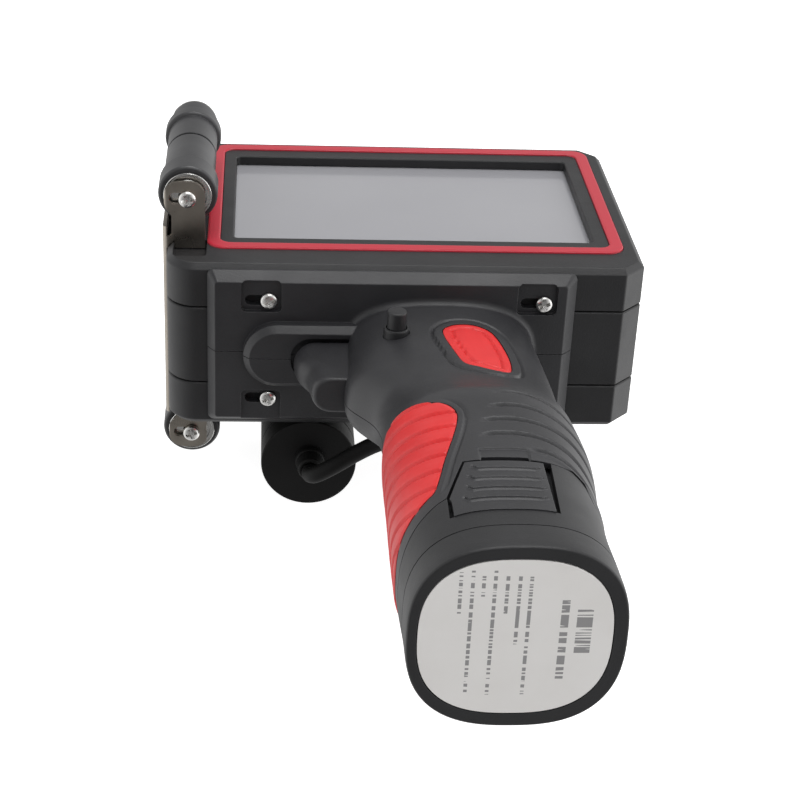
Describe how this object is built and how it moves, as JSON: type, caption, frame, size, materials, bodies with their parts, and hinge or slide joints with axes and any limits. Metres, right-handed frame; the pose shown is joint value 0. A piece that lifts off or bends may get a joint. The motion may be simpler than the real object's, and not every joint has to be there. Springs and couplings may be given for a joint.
{
  "type": "date code inkjet printer",
  "caption": "Handheld inkjet date coder: screen body on a pistol grip with a battery base, guide rollers on the print side, a trigger, a push button and a hung encoder.",
  "frame": {"origin": "centre of the bounding box in x and y, at the object's lowest point", "axes": "+Z out of the screen, +Y from the handle towards the body's far wall, +X away from the print side"},
  "size_m": [0.1326, 0.2252, 0.0971],
  "materials": {
    "screen_bezel_shell": "fine-textured black moulding",
    "middle_housing": "fine-textured black moulding",
    "bottom_housing": "fine-textured black moulding",
    "battery_case": "fine-textured black moulding",
    "battery_base_cap": "fine-textured black moulding",
    "power_button_cap": "fine-textured black moulding",
    "power_button_collar": "fine-textured black moulding",
    "handle_terminals": "fine-textured black moulding",
    "handle_half_upper": "fine-textured black moulding",
    "handle_half_lower": "fine-textured black moulding",
    "trigger": "fine-textured black moulding",
    "battery_latch_upper": "fine-textured black moulding",
    "battery_latch_lower": "fine-textured black moulding",
    "ink_cartridge": "fine-textured black moulding",
    "trigger_switch": "switch body",
    "power_button_switch": "switch body",
    "red_trim_ring": "red moulded insert",
    "head_insert_upper": "red moulded insert",
    "head_insert_lower": "red moulded insert",
    "front_grip": "red moulded rubber",
    "touch_glass": "grey touch glass",
    "lcd_module": "display panel",
    "main_board": "green circuit board",
    "cartridge_contact_board": "green circuit board",
    "print_guide_plate": "plain steel",
    "encoder_bracket": "plain steel",
    "encoder_shaft": "plain steel",
    "upper_roller_rod": "plain steel",
    "lower_roller_rod": "plain steel",
    "upper_rod_screw_near": "bright steel",
    "upper_rod_screw_far": "bright steel",
    "lower_rod_screw_near": "bright steel",
    "lower_rod_screw_far": "bright steel",
    "upper_roller_bearing_near": "bright steel",
    "upper_roller_bearing_far": "bright steel",
    "lower_roller_bearing_near": "bright steel",
    "lower_roller_bearing_far": "bright steel",
    "plate_screw_28_upper": "bright steel",
    "plate_screw_28_lower": "bright steel",
    "plate_screw_102_upper": "bright steel",
    "plate_screw_102_lower": "bright steel",
    "bracket_screw_left": "bright steel",
    "bracket_screw_right": "bright steel",
    "battery_terminals": "bright steel",
    "upper_roller_tyre": "black rubber",
    "lower_roller_tyre": "black rubber",
    "encoder_gland": "black rubber",
    "handle_gland": "black rubber",
    "encoder_cable": "black rubber",
    "upper_roller_core": "plain aluminium",
    "lower_roller_core": "plain aluminium",
    "battery_cell_1": "sleeved cell",
    "battery_cell_2": "sleeved cell",
    "battery_cell_3": "sleeved cell",
    "battery_cell_4": "sleeved cell",
    "encoder_body": "black housing",
    "nozzle_plate": "nozzle plate",
    "battery_label": "plain pale label"
  },
  "bodies": {
    "printer": {"screen_bezel_shell": "screen_bezel_shell", "middle_housing": "middle_housing", "bottom_housing": "bottom_housing", "power_button_collar": "power_button_collar", "handle_terminals": "handle_terminals", "handle_half_upper": "handle_half_upper", "handle_half_lower": "handle_half_lower", "trigger_switch": "trigger_switch", "power_button_switch": "power_button_switch", "red_trim_ring": "red_trim_ring", "head_insert_upper": "head_insert_upper", "head_insert_lower": "head_insert_lower", "front_grip": "front_grip", "touch_glass": "touch_glass", "lcd_module": "lcd_module", "main_board": "main_board", "cartridge_contact_board": "cartridge_contact_board", "print_guide_plate": "print_guide_plate", "encoder_bracket": "encoder_bracket", "upper_roller_rod": "upper_roller_rod", "lower_roller_rod": "lower_roller_rod", "upper_rod_screw_near": "upper_rod_screw_near", "upper_rod_screw_far": "upper_rod_screw_far", "lower_rod_screw_near": "lower_rod_screw_near", "lower_rod_screw_far": "lower_rod_screw_far", "plate_screw_28_upper": "plate_screw_28_upper", "plate_screw_28_lower": "plate_screw_28_lower", "plate_screw_102_upper": "plate_screw_102_upper", "plate_screw_102_lower": "plate_screw_102_lower", "bracket_screw_left": "bracket_screw_left", "bracket_screw_right": "bracket_screw_right", "encoder_gland": "encoder_gland", "handle_gland": "handle_gland", "encoder_cable": "encoder_cable", "encoder_body": "encoder_body"},
    "upper_roller": {"upper_roller_tyre": "upper_roller_tyre", "upper_roller_core": "upper_roller_core", "upper_roller_bearing_near": "upper_roller_bearing_near", "upper_roller_bearing_far": "upper_roller_bearing_far"},
    "lower_roller": {"lower_roller_tyre": "lower_roller_tyre", "lower_roller_core": "lower_roller_core", "lower_roller_bearing_near": "lower_roller_bearing_near", "lower_roller_bearing_far": "lower_roller_bearing_far"},
    "trigger": {"trigger": "trigger"},
    "power_button": {"power_button_cap": "power_button_cap"},
    "cartridge": {"ink_cartridge": "ink_cartridge", "nozzle_plate": "nozzle_plate"},
    "battery": {"battery_case": "battery_case", "battery_base_cap": "battery_base_cap", "battery_label": "battery_label", "battery_terminals": "battery_terminals", "battery_cell_1": "battery_cell_1", "battery_cell_2": "battery_cell_2", "battery_cell_3": "battery_cell_3", "battery_cell_4": "battery_cell_4"},
    "latch_upper": {"battery_latch_upper": "battery_latch_upper"},
    "latch_lower": {"battery_latch_lower": "battery_latch_lower"},
    "encoder_shaft": {"encoder_shaft": "encoder_shaft"}
  },
  "joints": [
    {"name": "upper_roller_spin", "type": "hinge", "parent": "printer", "child": "upper_roller", "pos_m": [-0.05825, 0.0672, 0.089], "axis": [0, 1, 0], "continuous": true},
    {"name": "lower_roller_spin", "type": "hinge", "parent": "printer", "child": "lower_roller", "pos_m": [-0.05785, 0.0672, 0.0167], "axis": [0, 1, 0], "continuous": true},
    {"name": "trigger_pull", "type": "slide", "parent": "printer", "child": "trigger", "axis": [1, 0, 0], "range_m": [0, 0.0035], "stiffness_N_per_m": 700, "springref_m": -0.002},
    {"name": "power_button_press", "type": "slide", "parent": "printer", "child": "power_button", "axis": [0, 0, -1], "range_m": [0, 0.0007], "stiffness_N_per_m": 1500, "springref_m": -0.0006},
    {"name": "cartridge_slide", "type": "slide", "parent": "printer", "child": "cartridge", "axis": [0, 1, 0], "range_m": [0, 0.08]},
    {"name": "battery_slide", "type": "slide", "parent": "printer", "child": "battery", "axis": [0, -1, 0], "range_m": [0, 0.056]},
    {"name": "latch_upper_press", "type": "slide", "parent": "battery", "child": "latch_upper", "axis": [0, 0, -1], "range_m": [0, 0.0012], "stiffness_N_per_m": 1500, "springref_m": -0.0008},
    {"name": "latch_lower_press", "type": "slide", "parent": "battery", "child": "latch_lower", "axis": [0, 0, 1], "range_m": [0, 0.0012], "stiffness_N_per_m": 1500, "springref_m": -0.0008},
    {"name": "encoder_spin", "type": "hinge", "parent": "printer", "child": "encoder_shaft", "pos_m": [-0.02435, 0.07175, 0.0135], "axis": [0, 1, 0], "continuous": true}
  ]
}
